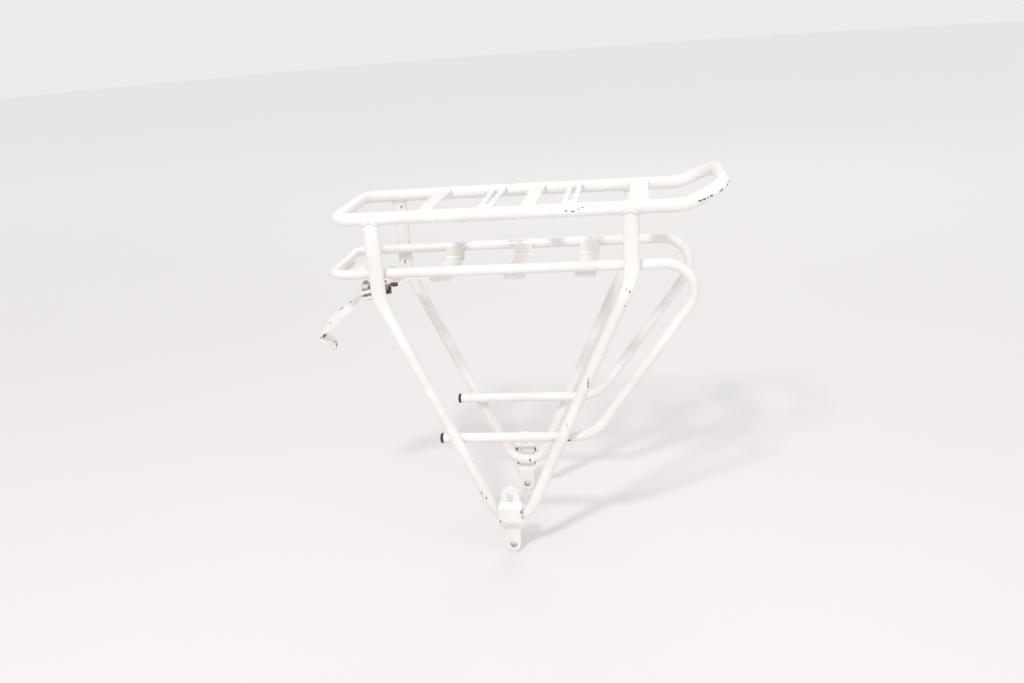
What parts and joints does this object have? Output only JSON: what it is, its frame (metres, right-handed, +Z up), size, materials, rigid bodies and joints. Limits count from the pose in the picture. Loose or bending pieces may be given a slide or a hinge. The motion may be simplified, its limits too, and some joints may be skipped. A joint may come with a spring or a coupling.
{
  "type": "bicycle rear luggage carrier",
  "caption": "White tubular bicycle rear carrier with a raised rear hoop, a battery tray under the deck, low pannier rails and an adjustable front stay.",
  "frame": {"origin": "midway between the axle holes of the two foot tabs", "axes": "+X to the rear of the bicycle, +Y to its right side, along the axle, +Z up"},
  "size_m": [0.4692, 0.1626, 0.4217],
  "materials": {
    "white_gloss_paint": "gloss",
    "zinc_plated_steel": "satin",
    "dark_plated_steel": "satin",
    "black_plastic": "matte"
  },
  "bodies": {
    "carrier": {"deck_tube": "white_gloss_paint", "deck_butt_weld": "white_gloss_paint", "deck_crossbar_1": "white_gloss_paint", "deck_crossbar_2": "white_gloss_paint", "deck_crossbar_3": "white_gloss_paint", "deck_crossbar_4": "white_gloss_paint", "deck_rear_plate": "white_gloss_paint", "tray_and_rail_tube": "white_gloss_paint", "tray_strap_1": "white_gloss_paint", "tray_strap_2": "white_gloss_paint", "tray_strap_3": "white_gloss_paint", "tray_centre_plate": "white_gloss_paint", "side_frame_right": "white_gloss_paint", "side_frame_left": "white_gloss_paint", "foot_plate_right": "white_gloss_paint", "foot_plate_left": "white_gloss_paint", "rail_cap_right": "black_plastic", "rail_cap_left": "black_plastic", "stay_bracket": "white_gloss_paint", "bracket_bolts": "zinc_plated_steel", "bracket_spacers": "zinc_plated_steel", "bracket_nuts": "dark_plated_steel"},
    "stay_clamp": {"stay_bolt": "zinc_plated_steel", "stay_washers": "zinc_plated_steel", "stay_nut": "zinc_plated_steel"},
    "stay": {"front_stay": "white_gloss_paint"}
  },
  "joints": [
    {"name": "stay_swivel", "type": "hinge", "parent": "carrier", "child": "stay_clamp", "pos_m": [-0.15878, 0, 0.29225], "axis": [-0.225, 0, 0.9744], "range_deg": [-25, 25]},
    {"name": "stay_slide", "type": "slide", "parent": "stay_clamp", "child": "stay", "axis": [0.9744, 0, 0.225], "range_m": [-0.006, 0.006]}
  ]
}
